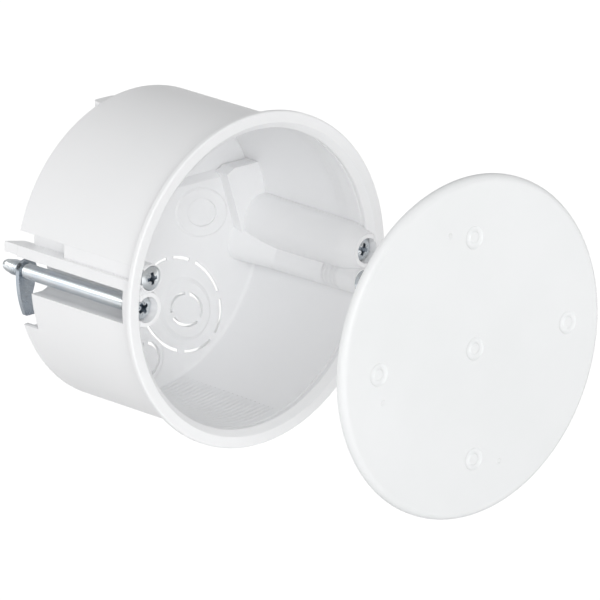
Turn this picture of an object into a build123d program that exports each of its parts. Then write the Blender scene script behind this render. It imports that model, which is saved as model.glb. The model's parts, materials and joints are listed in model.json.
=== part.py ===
from build123d import *
import os

# Cavity wall junction box: a moulded housing with two claw screws that clamp it in a hollow wall,
# two fixing screws for a device or plate, and a snap-in lid that is shown taken off.
# X runs through the two claw screws, +Y goes into the wall, +Z is up, and the front faces -Y.
# The origin lies on the box's axis in the plane of the wall face, which is the rear of the flange.
# The box looks the same when it is turned half round its axis, apart from the floor.

# Hole in the wall and the housing that fills it: a round band behind the flange, then a wall with draft
wall_hole_diameter = 80.0
hole_clearance = 0.4
flange_overlap = 2.5
flange_thickness = 1.4
flange_edge_radius = 0.5
box_depth = 45.0
band_length = 1.8
body_draft = 0.15
side_wall = 1.8
lead_in_width = 1.6
lead_in_depth = 1.6

# Floor, with a deeper segment across its top
floor_depth = 41.0
floor_thickness = 1.6
floor_corner_radius = 0.8
skirt_wall = 1.4
deep_floor_step = 1.9
deep_floor_foot = 12.6
deep_floor_slope_run = 1.5

# Groove in the side wall that the lid's beads snap into
snap_groove_depth = 3.0
snap_groove_radius = 0.5

# Claw screw, its sunk head and the channel that it runs in
claw_screw_offset = 36.6
claw_screw_diameter = 4.0
claw_screw_head_diameter = 5.8
claw_screw_head_height = 2.0
claw_screw_head_sink = 1.4
claw_screw_reach = 52.2
claw_screw_tip_length = 3.5
claw_screw_tip_diameter = 3.0
claw_head_clearance = 0.35
fixing_head_clearance = 0.15
hole_skin = 0.2
screw_hole_clearance = 0.2
seat_gap = 0.05
channel_radius = 4.2
channel_start = 5.8
channel_lip_radius = 4.3
channel_shoulder_radius = 6.1
channel_shoulder_depth = 4.5
channel_shoulder_rounding = 8.0
channel_floor_radius = 6.6

# Fixing screw and its boss, beside the claw screw
fixing_screw_offset = 35.4
fixing_screw_drop = 7.8
fixing_screw_diameter = 3.0
fixing_screw_head_diameter = 6.0
fixing_screw_head_height = 2.0
fixing_screw_head_proud = 0.6
fixing_screw_length = 25.0
fixing_screw_point_length = 2.2
fixing_screw_point_diameter = 1.0
fixing_boss_radius = 3.5
fixing_boss_floor_radius = 3.9
fixing_foot_height = 13.0
fixing_foot_radius = 5.2
fixing_foot_inset = 3.5
fixing_foot_lift = 2.5
pilot_hole_extra = 1.5

# Cross recess and edges of both kinds of screw
recess_span = 3.7
recess_width = 0.95
recess_depth = 1.5
recess_taper = 10.0
head_crown = 0.9
tip_chamfer = 0.6

# Guide fin beside each claw screw, which stops the claw once it has swung out
fin_near_side = 4.3
fin_far_side = 7.0
fin_tail = 5.0
fin_tail_slant = 3.4
fin_root_offset = 35.2
fin_reach = 38.95
fin_front = 12.0

# Flat and pocket on the far side of the fin
flat_far_side = 10.6
flat_sink = 0.22
flat_length = 29.0
flat_pocket_sink = 2.4
flat_front = 3.4

# Claw pocket at the back and its platform inside the box
platform_rise = 2.8
pocket_wall = 1.4
pocket_inset = 2.8
pocket_mouth_rise = 2.4
platform_toe = 24.4
platform_waist = 30.2
platform_side = 4.2
platform_top = 15.0
platform_corner = 2.6

# Claw, a flat stamping that is threaded on its screw
claw_thickness = 1.2
claw_front = 44.0
claw_eye_radius = 3.0
claw_bore_clearance = 0.1
claw_reach = 11.4
claw_inner_edge = 34.4
claw_edge_inset = 0.2
claw_tip_inset = 0.7
claw_waist_sink = 0.8
claw_waist_height = 6.2
claw_waist_run = 2.4
claw_corner_radius = 0.6

# Knock-outs in the floor: oval, with the long axis towards the side wall
slit_width = 0.75
slit_groove_width = 3.9
slit_web = 0.3
bridge_width = 2.2
small_bridge_width = 1.5
disc_rise = 0.7
disc_slope = 1.1
blind_relief = 0.35
blind_slope = 0.5
entry_offset = 11.4
entry_drop = 17.9
entry_core_shift = 1.2
entry_core_drop = 1.4
entry_turn = -42.0
entry_long = 30.0
entry_short = 21.6
entry_disc_long = 19.2
entry_disc_short = 15.2
entry_core_long = 11.0
entry_core_short = 7.8
entry_core_turn = -30.0
entry_bridges = (-90.0, -45.0, -1.0, 70.0, 106.0, 168.0)
core_bridges = (-39.0, 86.0, 186.0)
round_bridges = (88.0, 180.0, 286.0)
far_entry_offset = -16.4
far_entry_drop = 15.2
round_entry_offset = -1.2
round_entry_drop = 29.8
round_entry_core = 9.0
round_entry_disc = 13.6
blind_offset = 18.2
blind_rise = 4.7
blind_turn = -20.0
blind_long = 18.0
blind_short = 12.6
blind_core_long = 10.0
blind_core_short = 7.0

# Lugs that stand out of the back edge
lug_offset = 7.6
lug_width = 7.4
lug_thickness = 2.6
lug_height = 3.4
lug_root = 35.3
lug_rounding = 1.6

# Lid
lid_travel = 74.0
lid_overhang = 0.3
lid_edge_height = 2.5
lid_crown = 0.7
lid_edge_radius = 1.7
lid_foot_radius = 0.4
lid_shell = 1.6
lid_seat_width = 2.6
tongue_gap = 0.7
tongue_wall = 1.2
tongue_length = 4.4
tongue_arc = 32.0
tongue_angle = 48.0
bead_radius = 0.5
dimple_radius = 2.9
dimple_button_radius = 1.3
dimple_depth = 0.35
dimple_offset = 31.4
dimple_rise = 28.0

# Sizes that follow from those above
body_radius = (wall_hole_diameter - hole_clearance) / 2
flange_radius = wall_hole_diameter / 2 + flange_overlap
inner_radius = body_radius - side_wall
skirt_radius = body_radius - skirt_wall
claw_head_hole_radius = claw_screw_head_diameter / 2 + claw_head_clearance
fixing_head_hole_radius = fixing_screw_head_diameter / 2 + fixing_head_clearance
claw_seat_depth = claw_screw_head_sink + claw_screw_head_height
fixing_seat_depth = fixing_screw_head_height - fixing_screw_head_proud
claw_bore_radius = claw_screw_diameter / 2 + claw_bore_clearance
past_surface = 2.0
platform_depth = floor_depth - platform_rise
sides = {"right": 1, "left": -1}


def y_at(depth):
    """Place along Y of a depth that is measured from the flange's front face."""
    return depth - flange_thickness


def level(depth):
    """Plane parallel to the wall at a depth behind the flange's front face; its normal faces the room."""
    return Plane.XZ.offset(-y_at(depth))


def turned(points, side):
    """Outline of a side's feature, turned half round the box's axis for the left side."""
    return [(side * x, side * z) for x, z in points]


def radial_section(side, offset, height):
    """Plane through an axis that runs along Y, for profiles of radius against depth."""
    return Plane(origin=(side * offset, 0, side * height), x_dir=(1, 0, 0), z_dir=(0, 0, 1))


def own_axis(side, offset, height):
    """The axis along Y that a boss, a screw or a claw turns about."""
    return Axis((side * offset, 0, side * height), (0, 1, 0))


# Round shell: flange, side wall, floor and the short skirt behind the floor
with BuildPart() as shell:
    with BuildSketch(Plane.XY) as shell_section:
        with BuildLine():
            Polyline(
                (0, y_at(floor_depth)),
                (inner_radius, y_at(floor_depth)),
                (inner_radius, y_at(lead_in_depth)),
                (inner_radius + lead_in_width, y_at(0)),
                (flange_radius, y_at(0)),
                (flange_radius, 0),
                (body_radius, 0),
                (body_radius, band_length),
                (body_radius - body_draft, y_at(box_depth)),
                (skirt_radius, y_at(box_depth)),
                (skirt_radius, y_at(floor_depth + floor_thickness)),
                (0, y_at(floor_depth + floor_thickness)),
                close=True,
            )
        make_face()
        floor_corner = (inner_radius, y_at(floor_depth), 0)
        fillet(shell_section.vertices().sort_by_distance(floor_corner)[0], floor_corner_radius)
        flange_edge = (flange_radius, y_at(0), 0)
        fillet(shell_section.vertices().sort_by_distance(flange_edge)[0], flange_edge_radius)
    revolve(axis=Axis.Y)
    with BuildSketch(Plane.XY):
        with Locations((inner_radius, y_at(snap_groove_depth))):
            Circle(snap_groove_radius)
    revolve(axis=Axis.Y, mode=Mode.SUBTRACT)


def floor_segment(front_depth, lead, foot, within):
    """Space above a sloped step in the floor, as wide as the round wall leaves it."""
    with BuildPart() as segment:
        with BuildSketch(Plane.YZ):
            with BuildLine():
                Polyline(
                    (y_at(front_depth - lead), foot),
                    (y_at(front_depth), foot),
                    (y_at(front_depth + deep_floor_step), foot + deep_floor_slope_run),
                    (y_at(front_depth + deep_floor_step), body_radius),
                    (y_at(front_depth - lead), body_radius),
                    close=True,
                )
            make_face()
        extrude(amount=body_radius, both=True)
        with BuildSketch(level(front_depth - lead)):
            Circle(within)
        extrude(amount=-(lead + deep_floor_step), mode=Mode.INTERSECT)
    return segment.part


deep_floor_space = floor_segment(floor_depth, floor_corner_radius, deep_floor_foot, inner_radius)
deep_floor_back = floor_segment(
    floor_depth + floor_thickness,
    floor_thickness / 2,
    deep_floor_foot - floor_thickness / 2,
    (skirt_radius + body_radius) / 2,
)

# Bosses inside the box: the claw screw's channel and the fixing screw's tube, one of each a side
with BuildPart() as bosses:
    for side in sides.values():
        with BuildSketch(radial_section(side, claw_screw_offset, 0)) as channel_section:
            with BuildLine():
                Polyline(
                    (0, y_at(0)),
                    (channel_lip_radius, y_at(0)),
                    (channel_shoulder_radius, y_at(channel_shoulder_depth)),
                    (channel_floor_radius, y_at(floor_depth + floor_thickness)),
                    (0, y_at(floor_depth + floor_thickness)),
                    close=True,
                )
            make_face()
            shoulder = (channel_shoulder_radius, y_at(channel_shoulder_depth), 0)
            shoulder_corner = channel_section.vertices().sort_by_distance(shoulder)[0]
            fillet(shoulder_corner, channel_shoulder_rounding)
        revolve(axis=own_axis(side, claw_screw_offset, 0))
        with BuildSketch(radial_section(side, fixing_screw_offset, -fixing_screw_drop)):
            with BuildLine():
                Polyline(
                    (0, y_at(0)),
                    (fixing_boss_radius, y_at(0)),
                    (fixing_boss_floor_radius, y_at(floor_depth + floor_thickness)),
                    (0, y_at(floor_depth + floor_thickness)),
                    close=True,
                )
            make_face()
        revolve(axis=own_axis(side, fixing_screw_offset, -fixing_screw_drop))
        # Foot that spreads from the tube towards the middle of the floor
        with BuildSketch(level(floor_depth - fixing_foot_height)):
            with Locations((side * fixing_screw_offset, -side * fixing_screw_drop)):
                Circle(fixing_boss_radius)
        with BuildSketch(level(floor_depth + floor_thickness / 2)):
            foot_place = (fixing_screw_offset - fixing_foot_inset, -fixing_screw_drop + fixing_foot_lift)
            with Locations((side * foot_place[0], side * foot_place[1])):
                Circle(fixing_foot_radius)
        loft()
    with BuildSketch(level(0)):
        Circle((inner_radius + body_radius) / 2)
    extrude(amount=-box_depth, mode=Mode.INTERSECT)

# Platforms: the inner faces of the two claw pockets, raised above the floor beside the channels
with BuildPart() as platforms:
    for side in sides.values():
        with BuildSketch(level(platform_depth)):
            with BuildLine():
                Polyline(
                    *turned(
                        [
                            (platform_toe, platform_top - platform_corner / 2),
                            (platform_toe + platform_corner, platform_top),
                            (body_radius, platform_top),
                            (body_radius, -platform_side),
                            (platform_waist, -platform_side),
                        ],
                        side,
                    ),
                    close=True,
                )
            make_face()
        extrude(amount=-(floor_depth + floor_thickness - platform_depth))
    with BuildSketch(level(platform_depth)):
        Circle((inner_radius + body_radius) / 2)
    extrude(amount=-(box_depth - platform_depth), mode=Mode.INTERSECT)

# Fins: ribs beside the claw screws that run on past the back edge in a slanted tail
with BuildPart() as fins:
    for side in sides.values():
        with BuildSketch(Plane.XY.offset(-side * fin_near_side)):
            with BuildLine():
                Polyline(
                    (side * fin_root_offset, y_at(fin_front)),
                    (side * fin_reach, y_at(fin_front)),
                    (side * fin_reach, y_at(box_depth + fin_tail)),
                    (side * fin_root_offset, y_at(box_depth + fin_tail - fin_tail_slant)),
                    close=True,
                )
            make_face()
        extrude(amount=-side * (fin_far_side - fin_near_side))

# Lugs: two short rounded feet that stand out of the back edge
with BuildPart() as lugs:
    for side in sides.values():
        with BuildSketch(level(floor_depth)):
            with Locations((-side * lug_offset, side * (lug_root + lug_thickness / 2))):
                Rectangle(lug_width, lug_thickness)
        extrude(amount=-(box_depth + lug_height - floor_depth))
    tips = lugs.faces().sort_by(Axis.Y)[-2:]
    fillet(tips.edges().filter_by(Axis.Z), lug_rounding)

# Spaces that are cut away outside and at the back
with BuildPart() as outside_cuts:
    for side in sides.values():
        # Open channel behind the solid front boss, in which the claw travels
        with BuildSketch(level(channel_start)):
            with Locations((side * claw_screw_offset, 0)):
                Circle(channel_radius)
            with Locations((side * (claw_screw_offset + body_radius) / 2, 0)):
                Rectangle(body_radius - claw_screw_offset, 2 * channel_radius)
            with Locations((side * (body_radius + past_surface / 2), 0)):
                Rectangle(past_surface, 2 * channel_radius)
        extrude(amount=-(box_depth + past_surface - channel_start))
        # Claw pocket, open to the back and to the outside
        pocket_top = platform_top - pocket_wall
        with BuildSketch(level(platform_depth + pocket_wall)):
            with BuildLine():
                Polyline(
                    *turned(
                        [
                            (platform_toe + pocket_inset, pocket_top - platform_corner / 2),
                            (platform_toe + pocket_inset + platform_corner / 2, pocket_top),
                            (inner_radius - pocket_wall, pocket_top),
                            (body_radius + past_surface, pocket_top + pocket_mouth_rise),
                            (body_radius + past_surface, -channel_radius),
                            (platform_waist + pocket_inset, -channel_radius),
                        ],
                        side,
                    ),
                    close=True,
                )
            make_face()
        extrude(amount=-(box_depth + past_surface - platform_depth - pocket_wall))
        # Shallow flat beyond the fin, and the deeper pocket behind it
        flat_middle = -(fin_far_side + flat_far_side) / 2
        flat_face = (body_radius**2 - flat_far_side**2) ** 0.5 - flat_sink
        flat_height = flat_far_side - fin_far_side
        for sink, start, stop in (
            (0, flat_front, flat_length),
            (flat_pocket_sink, flat_length, box_depth + past_surface),
        ):
            reach = body_radius + past_surface - flat_face + sink
            with BuildSketch(level(start)):
                with Locations((side * (flat_face - sink + reach / 2), side * flat_middle)):
                    Rectangle(reach, flat_height)
            extrude(amount=-(stop - start))

# Holes for the four screws, each with a sunk seat for the head
with BuildPart() as screw_holes:
    for side in sides.values():
        for offset, drop, head_radius, seat_depth, hole_radius, hole_end in (
            (
                claw_screw_offset,
                0,
                claw_head_hole_radius,
                claw_seat_depth,
                claw_screw_diameter / 2 + screw_hole_clearance,
                channel_start + past_surface,
            ),
            (
                fixing_screw_offset,
                fixing_screw_drop,
                fixing_head_hole_radius,
                fixing_seat_depth,
                fixing_screw_diameter / 2 + screw_hole_clearance,
                fixing_seat_depth + fixing_screw_length + pilot_hole_extra,
            ),
        ):
            with BuildSketch(radial_section(side, offset, -drop)):
                with BuildLine():
                    Polyline(
                        (0, y_at(-past_surface)),
                        (head_radius, y_at(-past_surface)),
                        (head_radius, y_at(seat_depth)),
                        (hole_radius, y_at(seat_depth)),
                        (hole_radius, y_at(hole_end)),
                        (0, y_at(hole_end)),
                        close=True,
                    )
                make_face()
            revolve(axis=own_axis(side, offset, -drop))
    with BuildSketch(level(-past_surface)):
        Circle(body_radius - hole_skin)
    extrude(amount=-(box_depth + past_surface), mode=Mode.INTERSECT)


def oval_ring(place, turn, long_axis, short_axis, width):
    """Narrow oval band on the open sketch, centred on its line."""
    with Locations(Location((*place, 0), (0, 0, turn))):
        Ellipse((long_axis + width) / 2, (short_axis + width) / 2)
        Ellipse((long_axis - width) / 2, (short_axis - width) / 2, mode=Mode.SUBTRACT)


def bridges(place, span, angles, width):
    """Take the bridges out of an oval band, so that only its slits are left."""
    for angle in angles:
        with Locations(Location((*place, 0), (0, 0, angle))):
            with Locations((span / 2, 0)):
                Rectangle(span, width, mode=Mode.SUBTRACT)


# Rings of slits round the entries: place, turn, long and short axis, bridges and their width
round_entry_place = (round_entry_offset, -round_entry_drop)
slit_rings = [
    (round_entry_place, 0.0, round_entry_core, round_entry_core, round_bridges, small_bridge_width)
]
entry_discs = [(round_entry_place, 0.0, round_entry_disc, round_entry_disc)]
for offset, drop, mirror in ((entry_offset, entry_drop, 1), (far_entry_offset, far_entry_drop, -1)):
    turn = entry_turn if mirror > 0 else -180 - entry_turn
    core_turn = entry_core_turn if mirror > 0 else -180 - entry_core_turn
    entry_angles = [angle if mirror > 0 else 180 - angle for angle in entry_bridges]
    core_angles = [angle if mirror > 0 else 180 - angle for angle in core_bridges]
    core_place = (offset + mirror * entry_core_shift, -drop - entry_core_drop)
    slit_rings += [
        ((offset, -drop), turn, entry_long, entry_short, entry_angles, bridge_width),
        (core_place, core_turn, entry_core_long, entry_core_short, core_angles, small_bridge_width),
    ]
    entry_discs.append((core_place, turn, entry_disc_long, entry_disc_short))

# Slits through the floor, and the grooves that thin it round them from behind
with BuildPart() as slits:
    for place, turn, long_axis, short_axis, angles, width in slit_rings:
        with BuildSketch(level(floor_depth - past_surface)):
            oval_ring(place, turn, long_axis, short_axis, slit_width)
            bridges(place, long_axis, angles, width)
        extrude(amount=-(floor_thickness + 2 * past_surface))
with BuildPart() as slit_grooves:
    for place, turn, long_axis, short_axis, angles, width in slit_rings:
        with BuildSketch(level(floor_depth + slit_web)):
            oval_ring(place, turn, long_axis, short_axis, slit_groove_width)
        extrude(amount=-(floor_thickness + past_surface))


def low_discs(table, rise, slope):
    """Oval discs that rise from the floor with sloped edges: place, turn, long and short axis of each."""
    with BuildPart() as raised:
        for place, turn, long_axis, short_axis in table:
            for height, inset in ((0, 0), (rise, slope)):
                with BuildSketch(level(floor_depth - height)):
                    with Locations(Location((*place, 0), (0, 0, turn))):
                        Ellipse(long_axis / 2 - inset, short_axis / 2 - inset)
            loft()
    return raised.part


# Low discs inside the entries, and the flatter ones of the blind entries beside the platforms
discs = low_discs(entry_discs, disc_rise, disc_slope)
blind_discs = low_discs(
    [
        ((side * blind_offset, blind_rise), side * blind_turn, blind_long, blind_short)
        for side in sides.values()
    ],
    blind_relief,
    blind_slope,
)
with BuildPart() as blind_dishes:
    for side in sides.values():
        with BuildSketch(level(floor_depth - blind_relief)):
            with Locations(Location((side * blind_offset, blind_rise, 0), (0, 0, side * blind_turn))):
                Ellipse(blind_core_long / 2, blind_core_short / 2)
        extrude(amount=-blind_relief)

with BuildPart() as housing:
    add(shell.part)
    add(deep_floor_back)
    add(deep_floor_space, mode=Mode.SUBTRACT)
    add(discs)
    add(blind_discs)
    add(blind_dishes.part, mode=Mode.SUBTRACT)
    add(slit_grooves.part, mode=Mode.SUBTRACT)
    add(slits.part, mode=Mode.SUBTRACT)
    add(platforms.part)
    add(bosses.part)
    add(outside_cuts.part, mode=Mode.SUBTRACT)
    add(fins.part)
    add(lugs.part)
    add(screw_holes.part, mode=Mode.SUBTRACT)


# Lid: a low domed cap with four snap tongues behind it, standing off the box by its travel
lid_seat = y_at(-lid_travel)
lid_radius = flange_radius + lid_overhang
lid_hollow_radius = lid_radius - lid_seat_width
tongue_radius = inner_radius - tongue_gap
crown_y = lid_seat - lid_edge_height - lid_crown
dome_radius = (lid_radius**2 + lid_crown**2) / (2 * lid_crown)
with BuildPart() as lid:
    with BuildSketch(Plane.XY) as lid_section:
        with BuildLine():
            RadiusArc((0, crown_y), (lid_radius, lid_seat - lid_edge_height), -dome_radius)
            Polyline(
                (lid_radius, lid_seat - lid_edge_height),
                (lid_radius, lid_seat),
                (lid_hollow_radius, lid_seat),
                (lid_hollow_radius, lid_seat - lid_edge_height + lid_shell),
                (0, lid_seat - lid_edge_height + lid_shell),
                (0, crown_y),
            )
        make_face()
        lid_edge = (lid_radius, lid_seat - lid_edge_height, 0)
        fillet(lid_section.vertices().sort_by_distance(lid_edge)[0], lid_edge_radius)
        lid_foot = (lid_radius, lid_seat, 0)
        fillet(lid_section.vertices().sort_by_distance(lid_foot)[0], lid_foot_radius)
    revolve(axis=Axis.Y)
    for centre in (tongue_angle, 180 - tongue_angle, 180 + tongue_angle, 360 - tongue_angle):
        start = centre - tongue_arc / 2
        tongue_plane = Plane.XY.rotated((0, -start, 0))
        with BuildSketch(tongue_plane):
            tongue_top = lid_seat - lid_edge_height + lid_shell
            with Locations((tongue_radius - tongue_wall / 2, (tongue_top + lid_seat + tongue_length) / 2)):
                Rectangle(tongue_wall, lid_seat + tongue_length - tongue_top)
            with Locations((tongue_radius, lid_seat + snap_groove_depth)):
                Circle(bead_radius)
        revolve(axis=Axis.Y, revolution_arc=-tongue_arc)
    # Shallow rings sunk into the face, each with a flat button left at its centre
    ring_middle = (dimple_radius + dimple_button_radius) / 2
    ring_half_width = (dimple_radius - dimple_button_radius) / 2
    groove_radius = (ring_half_width**2 + dimple_depth**2) / (2 * dimple_depth)
    groove_lift = groove_radius - dimple_depth
    for x, z in ((0, 0), (dimple_offset, 0), (-dimple_offset, 0), (0, dimple_rise), (0, -dimple_rise)):
        sagitta = dome_radius - (dome_radius**2 - x**2 - z**2) ** 0.5
        with BuildSketch(Plane(origin=(x, 0, z), x_dir=(1, 0, 0), z_dir=(0, 0, 1))):
            with Locations((ring_middle, crown_y + sagitta)):
                with Locations((0, -groove_lift)):
                    Circle(groove_radius)
        revolve(axis=Axis((x, 0, z), (0, 1, 0)), mode=Mode.SUBTRACT)


def make_screw(side, offset, drop, head, height, seat, diameter, end, tip_length, tip_diameter):
    """Pan-head screw with a cross recess, seated with its head just clear of its hole's step."""
    top = y_at(seat - seat_gap - height)
    crown_radius = ((head / 2) ** 2 + head_crown**2) / (2 * head_crown)
    with BuildPart() as screw:
        with BuildSketch(radial_section(side, offset, -drop)):
            with BuildLine():
                RadiusArc((0, top), (head / 2, top + head_crown), -crown_radius)
                Polyline(
                    (head / 2, top + head_crown),
                    (head / 2, top + height),
                    (diameter / 2, top + height),
                    (diameter / 2, y_at(end - tip_length)),
                    (tip_diameter / 2, y_at(end - tip_length) + tip_chamfer),
                    (tip_diameter / 2, y_at(end) - tip_chamfer / 2),
                    (tip_diameter / 2 - tip_chamfer / 2, y_at(end)),
                    (0, y_at(end)),
                    (0, top),
                )
            make_face()
        revolve(axis=own_axis(side, offset, -drop))
        with BuildSketch(Plane.XZ.offset(-top)):
            with Locations((side * offset, -side * drop)):
                Rectangle(recess_span, recess_width)
                Rectangle(recess_width, recess_span)
        extrude(amount=-recess_depth, taper=recess_taper, mode=Mode.SUBTRACT)
    return screw


def make_claw(side):
    """Flat steel claw, stowed in its pocket with its arm along the housing's round outside."""
    arm_middle = claw_reach / 2
    outer = [
        ((body_radius - inset) ** 2 - z**2) ** 0.5
        for z, inset in (
            (0, claw_edge_inset),
            (arm_middle, claw_edge_inset),
            (claw_reach, claw_tip_inset),
        )
    ]
    with BuildPart() as claw:
        with BuildSketch(level(claw_front)) as blank:
            with BuildLine():
                ThreePointArc(
                    *turned([(outer[0], 0), (outer[1], arm_middle), (outer[2], claw_reach)], side)
                )
                Polyline(
                    *turned(
                        [
                            (outer[2], claw_reach),
                            (claw_inner_edge, claw_reach),
                            (claw_inner_edge, claw_waist_height + claw_waist_run),
                            (claw_inner_edge + claw_waist_sink, claw_waist_height),
                            (claw_inner_edge, claw_waist_height - claw_waist_run),
                            (claw_inner_edge, 0),
                            (outer[0], 0),
                        ],
                        side,
                    )
                )
            make_face()
            tip_corners = blank.vertices().sort_by(Axis.Z)
            fillet(tip_corners[-2:] if side > 0 else tip_corners[:2], claw_corner_radius)
            with Locations((side * claw_screw_offset, 0)):
                Circle(claw_eye_radius)
                Circle(claw_bore_radius, mode=Mode.SUBTRACT)
        extrude(amount=-claw_thickness)
    return claw


os.makedirs("parts", exist_ok=True)
housing.part.label = "housing"
export_step(housing.part, "parts/housing.step")
lid.part.label = "lid"
export_step(lid.part, "parts/lid.step")
for name, side in sides.items():
    claw_screw = make_screw(
        side,
        claw_screw_offset,
        0,
        claw_screw_head_diameter,
        claw_screw_head_height,
        claw_seat_depth,
        claw_screw_diameter,
        claw_screw_reach,
        claw_screw_tip_length,
        claw_screw_tip_diameter,
    )
    claw_screw.part.label = "claw_screw_" + name
    export_step(claw_screw.part, "parts/claw_screw_" + name + ".step")
    fixing_screw = make_screw(
        side,
        fixing_screw_offset,
        fixing_screw_drop,
        fixing_screw_head_diameter,
        fixing_screw_head_height,
        fixing_seat_depth,
        fixing_screw_diameter,
        fixing_seat_depth + fixing_screw_length,
        fixing_screw_point_length,
        fixing_screw_point_diameter,
    )
    fixing_screw.part.label = "fixing_screw_" + name
    export_step(fixing_screw.part, "parts/fixing_screw_" + name + ".step")
    claw = make_claw(side)
    claw.part.label = "claw_" + name
    export_step(claw.part, "parts/claw_" + name + ".step")
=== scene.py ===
import json
import math

import bmesh
import bpy
from mathutils import Matrix, Vector


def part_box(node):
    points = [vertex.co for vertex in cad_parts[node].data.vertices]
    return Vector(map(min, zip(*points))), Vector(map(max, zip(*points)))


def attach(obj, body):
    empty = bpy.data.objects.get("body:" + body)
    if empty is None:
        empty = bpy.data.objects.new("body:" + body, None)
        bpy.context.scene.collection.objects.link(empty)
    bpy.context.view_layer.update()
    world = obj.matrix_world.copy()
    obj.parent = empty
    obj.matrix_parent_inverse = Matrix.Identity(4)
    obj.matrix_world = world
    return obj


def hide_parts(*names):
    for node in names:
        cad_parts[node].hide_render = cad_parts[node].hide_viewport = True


# Cavity wall junction box: white moulded housing and lid, zinc-plated screws and claws
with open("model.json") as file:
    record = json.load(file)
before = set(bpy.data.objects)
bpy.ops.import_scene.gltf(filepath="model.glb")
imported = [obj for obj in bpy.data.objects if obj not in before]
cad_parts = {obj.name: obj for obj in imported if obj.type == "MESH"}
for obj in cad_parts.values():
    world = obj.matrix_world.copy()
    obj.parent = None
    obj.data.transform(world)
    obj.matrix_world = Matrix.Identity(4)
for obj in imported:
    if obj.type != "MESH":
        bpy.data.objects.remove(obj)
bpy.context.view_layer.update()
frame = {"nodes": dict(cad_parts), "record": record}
nodes = frame["nodes"]
mm = 0.001


def box_in_mm(node):
    """The lowest and highest corners of a node at rest, in millimetres."""
    return [[value / mm for value in corner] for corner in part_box(node)]


def screw_axis(node):
    """Where a screw's axis crosses the plane of the wall face, as X and Z in millimetres."""
    low, high = box_in_mm(node)
    return (low[0] + high[0]) / 2, (low[2] + high[2]) / 2


# Places in millimetres that the dressed pieces take from the solids
flange_front = box_in_mm("housing")[0][1]
lid_front = box_in_mm("lid")[0][1]
lid_radius = box_in_mm("lid")[1][0]
# What the solids' boxes don't tell: the bore of the housing, and how far the lid's face is crowned
inner_radius = 38.0
lid_crown = 0.7


# Materials
def linear(hex_colour):
    """An sRGB hex colour as the linear colour that a shader's socket takes."""
    parts = [int(hex_colour[i : i + 2], 16) / 255 for i in (1, 3, 5)]
    return [p / 12.92 if p <= 0.04045 else ((p + 0.055) / 1.055) ** 2.4 for p in parts] + [1.0]


def add_node(tree, kind, values=None, links=None, **settings):
    """Adds a node with its settings, its socket values and its links."""
    made = tree.nodes.new(kind)
    for setting, value in settings.items():
        setattr(made, setting, value)
    for socket, value in (values or {}).items():
        made.inputs[socket].default_value = value
    for socket, source in (links or {}).items():
        tree.links.new(source, made.inputs[socket])
    return made


def new_material(name):
    """An empty node material, with the shader that its nodes lead to."""
    material = bpy.data.materials.new(name)
    material.use_nodes = True
    material.node_tree.nodes.clear()
    tree = material.node_tree
    shader = add_node(tree, "ShaderNodeBsdfPrincipled")
    add_node(tree, "ShaderNodeOutputMaterial", links={"Surface": shader.outputs["BSDF"]})
    return material, tree, shader


def moulded_polypropylene(name, colour, shaded_colour, roughness, grain_height, edge_radius):
    """White polypropylene, injection moulded: soft broad highlights, a fine spark-eroded grain from
    the mould, slight waves where the melt shrank, and hardly any change of colour."""
    shrinkage_wave, shrinkage_depth = 14 * mm, 0.12 * mm
    # The mould's grain is about 0.1 mm and is drawn coarser, so that it shows
    drawn_grain = 0.4 * mm
    pigment_cloud = 30 * mm
    depth_of_glow = 0.8 * mm
    material, tree, shader = new_material(name)
    place = add_node(tree, "ShaderNodeTexCoord").outputs["Object"]
    waves = add_node(
        tree, "ShaderNodeTexNoise", {"Scale": 1 / shrinkage_wave, "Detail": 2.0}, {"Vector": place}
    )
    grain = add_node(tree, "ShaderNodeTexNoise", {"Scale": 1 / drawn_grain, "Detail": 3.0}, {"Vector": place})
    cloud = add_node(
        tree, "ShaderNodeTexNoise", {"Scale": 1 / pigment_cloud, "Detail": 3.0}, {"Vector": place}
    )
    tint = add_node(
        tree,
        "ShaderNodeMix",
        {"A": linear(shaded_colour), "B": linear(colour)},
        {"Factor": cloud.outputs["Fac"]},
        data_type="RGBA",
    )
    tree.links.new(tint.outputs["Result"], shader.inputs["Base Color"])
    gloss = add_node(
        tree,
        "ShaderNodeMapRange",
        {"To Min": roughness - 0.05, "To Max": roughness + 0.07},
        {"Value": waves.outputs["Fac"]},
    )
    tree.links.new(gloss.outputs["Result"], shader.inputs["Roughness"])
    wavy = add_node(
        tree,
        "ShaderNodeBump",
        {"Strength": 0.25, "Distance": shrinkage_depth},
        {"Height": waves.outputs["Fac"]},
    )
    # Edges leave the mould slightly rounded
    if edge_radius:
        edges = add_node(tree, "ShaderNodeBevel", {"Radius": edge_radius * mm}, samples=6)
        tree.links.new(edges.outputs["Normal"], wavy.inputs["Normal"])
    grained = add_node(
        tree,
        "ShaderNodeBump",
        {"Strength": 0.35, "Distance": grain_height * mm},
        {"Height": grain.outputs["Fac"], "Normal": wavy.outputs["Normal"]},
    )
    tree.links.new(grained.outputs["Normal"], shader.inputs["Normal"])
    shader.inputs["IOR"].default_value = 1.49
    shader.inputs["Subsurface Weight"].default_value = 0.12
    shader.inputs["Subsurface Radius"].default_value = (1.0, 1.0, 1.0)
    shader.inputs["Subsurface Scale"].default_value = depth_of_glow
    return material


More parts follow.
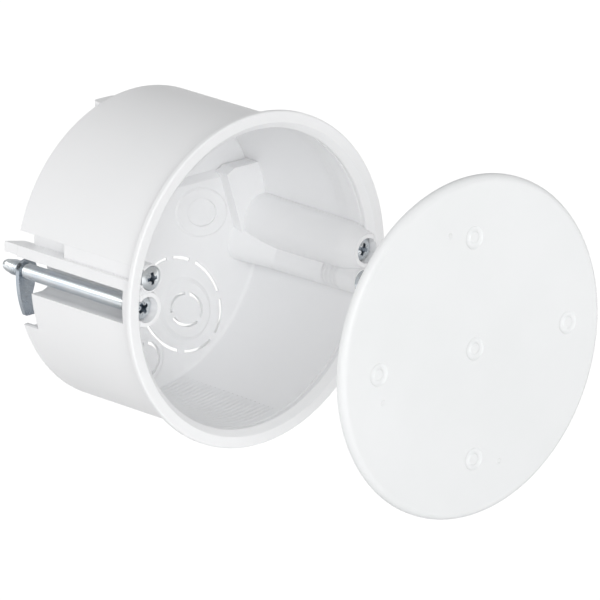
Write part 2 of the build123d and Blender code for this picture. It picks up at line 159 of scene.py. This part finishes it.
def zinc_plated_steel(name, blue, warm, smoothest, roughest):
    """Mild steel, bright zinc plated with a blue passivation: a cool sheen with sharp highlights,
    faint clouds of warm and blue, and a slightly uneven polish."""
    passivation_cloud = 3 * mm
    # The plating's crystals are a few micrometres and are drawn coarser, so that they show
    drawn_crystal, crystal_height = 0.25 * mm, 0.02 * mm
    material, tree, shader = new_material(name)
    place = add_node(tree, "ShaderNodeTexCoord").outputs["Object"]
    cloud = add_node(
        tree, "ShaderNodeTexNoise", {"Scale": 1 / passivation_cloud, "Detail": 3.0}, {"Vector": place}
    )
    tint = add_node(
        tree,
        "ShaderNodeMix",
        {"A": linear(blue), "B": linear(warm)},
        {"Factor": cloud.outputs["Fac"]},
        data_type="RGBA",
    )
    tree.links.new(tint.outputs["Result"], shader.inputs["Base Color"])
    grain = add_node(
        tree, "ShaderNodeTexNoise", {"Scale": 1 / drawn_crystal, "Detail": 3.0}, {"Vector": place}
    )
    polish = add_node(
        tree, "ShaderNodeMapRange", {"To Min": smoothest, "To Max": roughest}, {"Value": grain.outputs["Fac"]}
    )
    tree.links.new(polish.outputs["Result"], shader.inputs["Roughness"])
    bump = add_node(
        tree,
        "ShaderNodeBump",
        {"Strength": 0.3, "Distance": crystal_height},
        {"Height": grain.outputs["Fac"]},
    )
    tree.links.new(bump.outputs["Normal"], shader.inputs["Normal"])
    shader.inputs["Metallic"].default_value = 1.0
    return material


# The housing's mould is matt, and the lid's is satin, with crisper edges round its dimples
housing_plastic = moulded_polypropylene("moulded_polypropylene_matt", "#FAFAFB", "#F7F8F9", 0.46, 0.02, 0.2)
lid_plastic = moulded_polypropylene("moulded_polypropylene_satin", "#F3F4F5", "#EAECEC", 0.36, 0.01, 0.08)
# The ridges are low, so their grain is fainter, and their edges stay as drawn
ridge_plastic = moulded_polypropylene("moulded_polypropylene_ridged", "#FAFAFB", "#F7F8F9", 0.46, 0.004, 0)
# The claws' steel is a darker copy of the screws': painted shade on the claws
turned_steel = zinc_plated_steel("zinc_plated_screw_steel", "#CDD6E0", "#EDEEEC", 0.12, 0.3)
claw_steel_painted_shade = zinc_plated_steel("zinc_plated_claw_steel_painted_shade", "#A3ADBA", "#C2C7CA", 0.18, 0.34)
# The punched recess is given a darker steel colour: painted shade in the recess
recess_steel_painted_shade = zinc_plated_steel("zinc_plated_recess_steel_painted_shade", "#8A95A2", "#A5ABB0", 0.2, 0.4)
finish_of = {
    "housing_plastic": housing_plastic,
    "lid_plastic": lid_plastic,
    "zinc_plated_steel": turned_steel,
}
# The claws take the darker steel colour, which is painted shade
finish_of_node = {"claw_left": claw_steel_painted_shade, "claw_right": claw_steel_painted_shade}
for part in frame["record"]["subparts"]:
    solid = nodes[part["node"]]
    if not solid.material_slots:
        solid.data.materials.append(None)
    for slot in solid.material_slots:
        slot.material = finish_of_node.get(part["node"], finish_of[part["material_slot"]])


# Meshes, all given in millimetres
def closed_mesh(name, points, faces):
    """A mesh of a closed form, with its faces turned outwards."""
    mesh = bpy.data.meshes.new(name)
    mesh.from_pydata([Vector(p) * mm for p in points], [], faces)
    shape = bmesh.new()
    shape.from_mesh(mesh)
    bmesh.ops.recalc_face_normals(shape, faces=shape.faces)
    shape.to_mesh(mesh)
    shape.free()
    return mesh


def new_piece(name, points, faces, body, slot_name, finish=None):
    """A closed smooth piece that rides on a body and has its slot's finish, or one of its own."""
    mesh = closed_mesh(name, points, faces)
    mesh.polygons.foreach_set("use_smooth", [True] * len(mesh.polygons))
    mesh.materials.append(finish or finish_of[slot_name])
    piece = bpy.data.objects.new(name, mesh)
    bpy.context.scene.collection.objects.link(piece)
    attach(piece, body)
    return piece


def place_piece(piece, x, z):
    """Puts a piece that was made on the box's axis on its own axis."""
    piece.data.transform(Matrix.Translation(Vector((x, 0, z)) * mm))


def smooth_by_angle(piece, degrees):
    """Smooth faces, with the edges sharper than an angle kept crisp."""
    shape = bmesh.new()
    shape.from_mesh(piece.data)
    for edge in shape.edges:
        edge.smooth = len(edge.link_faces) == 2 and edge.calc_face_angle(0) < math.radians(degrees)
    for face in shape.faces:
        face.smooth = True
    shape.to_mesh(piece.data)
    shape.free()


def cut(piece, cutters):
    """Cuts each cutter out of a piece for good, and takes the cutters away."""
    for cutter in cutters:
        bpy.context.scene.collection.objects.link(cutter)
        step = piece.modifiers.new("cut", "BOOLEAN")
        step.operation, step.object, step.solver = "DIFFERENCE", cutter, "EXACT"
        step.material_mode = "TRANSFER"
    bpy.context.view_layer.update()
    evaluated = piece.evaluated_get(bpy.context.evaluated_depsgraph_get())
    mesh = bpy.data.meshes.new_from_object(evaluated)
    piece.modifiers.clear()
    piece.data = mesh
    for cutter in cutters:
        bpy.data.objects.remove(cutter)


def tube_faces(rings, around):
    """Faces of a tube whose points lie ring by ring, with its ends left open."""
    faces = []
    for ring in range(rings - 1):
        for step in range(around):
            beside = (step + 1) % around
            here, after = ring * around, (ring + 1) * around
            faces.append((here + step, here + beside, after + beside, after + step))
    return faces


def solid_along_y(start, rings, end):
    """Points and faces of a solid along Y that is closed by a point on the axis at each end.
    A ring is its place along Y with its radii, which are evenly spread all round."""
    around = len(rings[0][1])
    points = [(0, start, 0)]
    for along, radii in rings:
        for step, radius in enumerate(radii):
            angle = 2 * math.pi * step / around
            points.append((radius * math.cos(angle), along, radius * math.sin(angle)))
    points.append((0, end, 0))
    faces = [tuple(1 + i for i in face) for face in tube_faces(len(rings), around)]
    last = len(points) - 1
    for step in range(around):
        beside = (step + 1) % around
        faces.append((0, 1 + beside, 1 + step))
        faces.append((last, last - around + step, last - around + beside))
    return points, faces


def lathe(profile, around):
    """Points and faces of a solid turned about Y, from (radius, place along Y) with both ends on the axis."""
    rings = [(along, [radius] * around) for radius, along in profile[1:-1]]
    return solid_along_y(profile[0][1], rings, profile[-1][1])


def dome_sink(reach, radius, crown):
    """How far a round dome that rises by its crown has sunk at a reach from its middle."""
    sphere = (radius**2 + crown**2) / (2 * crown)
    return sphere - math.sqrt(sphere**2 - reach**2)


# Screws: pan head with a cross recess, rolled thread and a narrowed tip
thread_depth_per_pitch = 0.61
# The thread's profile is a triangle of this height and slope, cut off at 0 for its root and 1 for its crest
thread_peak, thread_flank = 1.25, 1.6
thread_tip_loss, tip_roundness = 0.4, 0.6
rows_per_thread_turn = 8
shank_steps, head_steps, dome_steps = 28, 56, 8
# Edges sharper than these angles, in degrees, stay crisp
head_crease, thread_crease = 35, 50
head_crown = 0.9
head_edge_sink, head_corner = 0.06, 0.12
shank_in_head = 0.3
# Each tapered bar of the recess: half length and half width at its mouth, and at its foot
recess_wing = ((1.95, 0.5), (0.75, 0.34))
recess_middle = ((0.95, 0.95), (0.5, 0.5))
recess_tick = ((2.45, 0.06), (2.45, 0.05))
recess_mouth_rise = 0.4
wing_foot, middle_foot, tick_foot = 1.55, 1.3, 0.3


def threaded_shank(radius, pitch, start, thread_start, end, tip_length, tip_radius):
    """Points and faces of a shank with a helical thread that fades out at both ends."""
    root_radius = radius - thread_depth_per_pitch * pitch
    rows = int((end - start) / pitch * rows_per_thread_turn)
    rings = []
    for row in range(rows + 1):
        along = start + (end - start) * row / rows
        fade = min(1.0, max(0.0, (along - thread_start) / pitch), max(0.0, (end - along) / pitch))
        narrowing = min(1.0, max(0.0, (along - end + tip_length) / tip_length))
        crest = (radius - root_radius) * fade * (1 - thread_tip_loss * narrowing)
        root = root_radius + (tip_radius - root_radius) * narrowing**tip_roundness
        radii = []
        for step in range(shank_steps):
            phase = (along / pitch - step / shank_steps) % 1.0
            ridge = thread_peak - abs(2 * phase - 1) * thread_flank
            radii.append(root + crest * max(0.0, min(1.0, ridge)))
        rings.append((along, radii))
    return solid_along_y(start, rings, end)


def recess_bar(bar, mouth, foot, turn):
    """A tapered bar along Y, turned about it, whose faces leave the recess's darker steel, painted shade, on
    what they cut.
    """
    (long_mouth, wide_mouth), (long_foot, wide_foot) = bar
    spin = Matrix.Rotation(turn, 3, "Y")
    points = []
    for along, long_half, wide_half in ((mouth, long_mouth, wide_mouth), (foot, long_foot, wide_foot)):
        for x, z in ((-1, -1), (1, -1), (1, 1), (-1, 1)):
            points.append(spin @ Vector((x * long_half, along, z * wide_half)))
    faces = [(0, 1, 2, 3), (7, 6, 5, 4), (0, 4, 5, 1), (1, 5, 6, 2), (2, 6, 7, 3), (3, 7, 4, 0)]
    mesh = closed_mesh("recess", points, faces)
    # The recess's darker steel colour is painted shade
    mesh.materials.append(recess_steel_painted_shade)
    return bpy.data.objects.new("recess", mesh)


def make_head(node, top, radius, height, shank_radius, turn):
    """A domed pan head, with the recess punched into it at a turn."""
    arc = [radius * step / dome_steps for step in range(dome_steps)]
    profile = [(reach, top + dome_sink(reach, radius, head_crown)) for reach in arc]
    profile += [
        (radius - head_edge_sink, top + head_crown - head_edge_sink),
        (radius, top + head_crown + head_corner),
        (radius, top + height - head_corner),
        (radius - head_corner, top + height),
        (shank_radius, top + height),
        (0, top + height),
    ]
    head = new_piece(node + "_head", *lathe(profile, head_steps), node, "zinc_plated_steel")
    mouth = top - recess_mouth_rise
    quarter, eighth = math.pi / 2, math.pi / 4
    wings = [recess_bar(recess_wing, mouth, top + wing_foot, turn + n * quarter) for n in range(2)]
    middle = [recess_bar(recess_middle, mouth, top + middle_foot, turn + eighth)]
    ticks = [recess_bar(recess_tick, mouth, top + tick_foot, turn + eighth + n * quarter) for n in range(2)]
    cut(head, wings + middle + ticks)
    smooth_by_angle(head, head_crease)
    return head


def make_screw(node, head_radius, head_height, radius, pitch, tip_length, tip_radius, turn):
    """A screw that stands for its solid, in the solid's own place."""
    low, high = box_in_mm(node)
    top, end = low[1], high[1]
    head = make_head(node, top, head_radius, head_height, radius, turn)
    shank_start = top + head_height - shank_in_head
    thread_start = top + head_height + pitch
    shank_points = threaded_shank(radius, pitch, shank_start, thread_start, end, tip_length, tip_radius)
    shank = new_piece(node + "_thread", *shank_points, node, "zinc_plated_steel")
    smooth_by_angle(shank, thread_crease)
    for piece in (head, shank):
        place_piece(piece, *screw_axis(node))
        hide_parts(node)


# The claws hang on M4 screws, and M3 screws hold what is fixed on the box. Their recesses stand at
# chance turns, in radians.
for side, turn in (("right", 0.35), ("left", 1.0)):
    make_screw(
        "claw_screw_" + side,
        head_radius=2.9,
        head_height=2.0,
        radius=2.0,
        pitch=0.7,
        tip_length=3.0,
        tip_radius=1.2,
        turn=turn,
    )
    make_screw(
        "fixing_screw_" + side,
        head_radius=3.0,
        head_height=2.0,
        radius=1.5,
        pitch=0.5,
        tip_length=2.0,
        tip_radius=0.45,
        turn=turn + 0.5,
    )

# Fine ridges that the mould's cutter leaves: along the bottom and the upper right of the housing's
# inner wall, and round the fixing screws' tubes. A section is its rise from the wall, as a share of
# the ridge's height and a little sunk at both feet, and its place across, as a share of the width.
ridge_half = ((-0.05, 0.5), (0.25, 0.3), (0.75, 0.15))
ridge_section = [(rise, -across) for rise, across in ridge_half] + [(1.0, 0.0), *reversed(ridge_half)]
ridge_fade_share = 1 / 6
lower_ridge_count, lower_ridge_pitch, lower_ridge_first = 21, 1.68, 6.0
lower_ridge_height, lower_ridge_width = 0.22, 1.3
# Arcs are in degrees, and those of the lower ridges widen towards the floor of the box
lower_ridge_half_arc, lower_ridge_growth = 16, 1.5
lower_ridge_steps, upper_ridge_steps, tube_ring_steps = 48, 64, 32
upper_ridge_count, upper_ridge_pitch, upper_ridge_first = 3, 1.4, 8.0
upper_ridge_height, upper_ridge_width = 0.045, 0.6
upper_ridge_arc = (100, 165)
tube_ring_count, tube_ring_pitch, tube_ring_first = 4, 1.5, 7.0
tube_ring_height, tube_ring_width = 0.07, 0.8
tube_mouth_radius, tube_growth, tube_length = 3.5, 0.4, 42.6
tube_ring_arcs = {"right": (-165, -10), "left": (15, 170)}


def arc_ridge(middle, radius, height, width, depth, arc, steps):
    """Points and faces of one low rounded ridge round an axis along Y, at a depth behind the flange's front.
    Its arc, in degrees, runs from straight down towards the right. A height below 0 is towards the axis."""
    start, stop = (math.radians(angle) for angle in arc)
    points = []
    for step in range(steps + 1):
        angle = start + (stop - start) * step / steps
        fade = min(1.0, step / steps / ridge_fade_share, (steps - step) / steps / ridge_fade_share)
        for rise, across in ridge_section:
            reach = radius + height * (rise if rise < 0 else rise * fade)
            along = flange_front + depth + across * width
            points.append((middle[0] + reach * math.sin(angle), along, middle[1] - reach * math.cos(angle)))
    around = len(ridge_section)
    faces = tube_faces(steps + 1, around)
    faces.append(tuple(range(around)))
    faces.append(tuple(reversed(range(steps * around, (steps + 1) * around))))
    return points, faces


def new_ridges(name, ridges):
    """One piece of several ridges on the housing."""
    points, faces = [], []
    for more_points, more_faces in ridges:
        faces += [tuple(len(points) + i for i in face) for face in more_faces]
        points += more_points
    return new_piece(name, points, faces, "housing", "housing_plastic", ridge_plastic)


lower_ridges = []
for number in range(lower_ridge_count):
    half_arc = lower_ridge_half_arc + lower_ridge_growth * number / lower_ridge_count
    lower_ridges.append(
        arc_ridge(
            middle=(0, 0),
            radius=inner_radius,
            height=-lower_ridge_height,
            width=lower_ridge_width,
            depth=lower_ridge_first + lower_ridge_pitch * number,
            arc=(-half_arc, half_arc),
            steps=lower_ridge_steps,
        )
    )
new_ridges("wall_ridges_below", lower_ridges)

upper_ridges = []
for number in range(upper_ridge_count):
    upper_ridges.append(
        arc_ridge(
            middle=(0, 0),
            radius=inner_radius,
            height=-upper_ridge_height,
            width=upper_ridge_width,
            depth=upper_ridge_first + upper_ridge_pitch * number,
            arc=upper_ridge_arc,
            steps=upper_ridge_steps,
        )
    )
new_ridges("wall_ridges_above", upper_ridges)

for side in ("right", "left"):
    rings = []
    for number in range(tube_ring_count):
        depth = tube_ring_first + tube_ring_pitch * number
        rings.append(
            arc_ridge(
                middle=screw_axis("fixing_screw_" + side),
                radius=tube_mouth_radius + tube_growth * depth / tube_length,
                height=tube_ring_height,
                width=tube_ring_width,
                depth=depth,
                arc=tube_ring_arcs[side],
                steps=tube_ring_steps,
            )
        )
    new_ridges("tube_ridges_" + side, rings)

# Small marks on the lid's face where the mould filled it: a low ring with a sunk middle
gate_marks = ((-8.0, 29.9), (-30.0, -7.3), (8.5, -30.4))
gate_steps = 24
gate_middle_radius, gate_ring_radius, gate_rim_radius, gate_foot_radius = 0.45, 0.6, 0.75, 0.8
gate_middle_sink, gate_ring_rise, gate_foot_depth = 0.02, 0.08, 0.2
for number, (x, z) in enumerate(gate_marks):
    surface = lid_front + dome_sink(math.hypot(x, z), lid_radius, lid_crown)
    profile = [
        (0, surface + gate_middle_sink),
        (gate_middle_radius, surface),
        (gate_ring_radius, surface - gate_ring_rise),
        (gate_rim_radius, surface),
        (gate_foot_radius, surface + gate_foot_depth),
        (0, surface + gate_foot_depth),
    ]
    mark = new_piece("gate_mark_%d" % number, *lathe(profile, gate_steps), "lid", "lid_plastic")
    place_piece(mark, x, z)

# Floor in metres: plain and pale, and well below the box, so that the box's shade stays out of the picture
floor_level, floor_half = -0.3, 12.0
glow_start, glow_full, glow_strength = 0.36, 0.8, 0.62
floor_corners = [
    (x * floor_half, y * floor_half, floor_level) for x, y in ((-1, -1), (1, -1), (1, 1), (-1, 1))
]
floor_mesh = bpy.data.meshes.new("floor")
floor_mesh.from_pydata(floor_corners, [], [(0, 1, 2, 3)])
floor = bpy.data.objects.new("floor", floor_mesh)
bpy.context.scene.collection.objects.link(floor)
floor_paint, floor_tree, floor_shader = new_material("matt_white_floor_paint")
# Roller texture of the paint, which only varies the sheen
roller_mark = 40 * mm
roller = add_node(floor_tree, "ShaderNodeTexNoise", {"Scale": 1 / roller_mark, "Detail": 2.0})
sheen = add_node(
    floor_tree, "ShaderNodeMapRange", {"To Min": 0.85, "To Max": 0.95}, {"Value": roller.outputs["Fac"]}
)
floor_tree.links.new(sheen.outputs["Result"], floor_shader.inputs["Roughness"])
floor_shader.inputs["Base Color"].default_value = linear("#E4E4E4")
floor_shader.inputs["Emission Color"].default_value = linear("#FFFFFF")
# The floor glows away from the box, as under a backdrop's own lamps, so that the box's lower side
# stays softer
place = add_node(floor_tree, "ShaderNodeTexCoord").outputs["Object"]
away = add_node(floor_tree, "ShaderNodeVectorMath", links={0: place}, operation="LENGTH")
glow = add_node(
    floor_tree,
    "ShaderNodeMapRange",
    {"From Min": glow_start, "From Max": glow_full, "To Min": 0.0, "To Max": glow_strength},
    {"Value": away.outputs["Value"]},
    interpolation_type="SMOOTHSTEP",
)
floor_tree.links.new(glow.outputs["Result"], floor_shader.inputs["Emission Strength"])
floor_mesh.materials.append(floor_paint)


# Soft studio light: an even white surround, a broad lamp by the camera, and faint ones at the left and above
def softbox(name, place, size, power):
    """A square area light, in metres and watts, that looks at the frame's origin in the box."""
    lamp = bpy.data.lights.new(name, "AREA")
    lamp.size, lamp.energy = size, power
    holder = bpy.data.objects.new(name, lamp)
    holder.location = place
    holder.rotation_euler = (-Vector(place)).to_track_quat("-Z", "Y").to_euler()
    bpy.context.scene.collection.objects.link(holder)


def soft_step(tree, value, start, stop):
    """Rises from 0 to 1 as a value goes from start to stop."""
    return add_node(
        tree,
        "ShaderNodeMapRange",
        {"From Min": start, "From Max": stop},
        {"Value": value},
        interpolation_type="SMOOTHSTEP",
    ).outputs["Result"]


softbox("front_softbox", (-2.15, -2.8, 1.1), 2.0, 51.5)
softbox("side_softbox", (-2.2, 0.2, 0.5), 1.2, 1.0)
softbox("top_softbox", (-0.4, 0.6, 2.3), 1.2, 7.0)
world = bpy.data.worlds.new("studio")
world.use_nodes = True
bpy.context.scene.world = world
sky = world.node_tree
direction = add_node(sky, "ShaderNodeTexCoord").outputs["Generated"]
axes = add_node(sky, "ShaderNodeSeparateXYZ", links={"Vector": direction})
# A narrow dark flag behind and above the box, which the bare metal mirrors along the screws
lower_edge = soft_step(sky, axes.outputs["Z"], 0.12, 0.22)
near_edge = soft_step(sky, axes.outputs["Y"], 0.58, 0.64)
far_edge = soft_step(sky, axes.outputs["Y"], 0.82, 0.76)
band = add_node(sky, "ShaderNodeMath", links={0: near_edge, 1: far_edge}, operation="MULTIPLY")
flag = add_node(sky, "ShaderNodeMath", links={0: band.outputs[0], 1: lower_edge}, operation="MULTIPLY")
surround = add_node(
    sky,
    "ShaderNodeMix",
    {"A": linear("#FFFFFF"), "B": linear("#1E2732")},
    {"Factor": flag.outputs[0]},
    data_type="RGBA",
)
background = sky.nodes["Background"]
sky.links.new(surround.outputs["Result"], background.inputs["Color"])
background.inputs["Strength"].default_value = 0.495

# Camera: the photograph's three-quarter view from the front left, from far away with a long lens
azimuth, elevation = math.radians(-42.7), math.radians(17.1)
camera_distance, camera_lens = 3.0, 733
# The picture's middle lies this far to the right of the middle of the flange, and below it
aim_right, aim_down = 10.18 * mm, 4.88 * mm
forward = Vector(
    (
        -math.sin(azimuth) * math.cos(elevation),
        math.cos(azimuth) * math.cos(elevation),
        -math.sin(elevation),
    )
)
right = forward.cross(Vector((0, 0, 1))).normalized()
up = right.cross(forward)
look_at = Vector((0, flange_front, 0)) * mm + right * aim_right - up * aim_down
camera_data = bpy.data.cameras.new("camera")
camera_data.lens = camera_lens
camera_data.sensor_width = 36
camera_data.clip_start, camera_data.clip_end = 0.1, 100
camera = bpy.data.objects.new("camera", camera_data)
camera.location = look_at - forward * camera_distance
camera.rotation_euler = forward.to_track_quat("-Z", "Y").to_euler()
bpy.context.scene.collection.objects.link(camera)
bpy.context.scene.camera = camera
bpy.context.scene.view_settings.view_transform = "Standard"
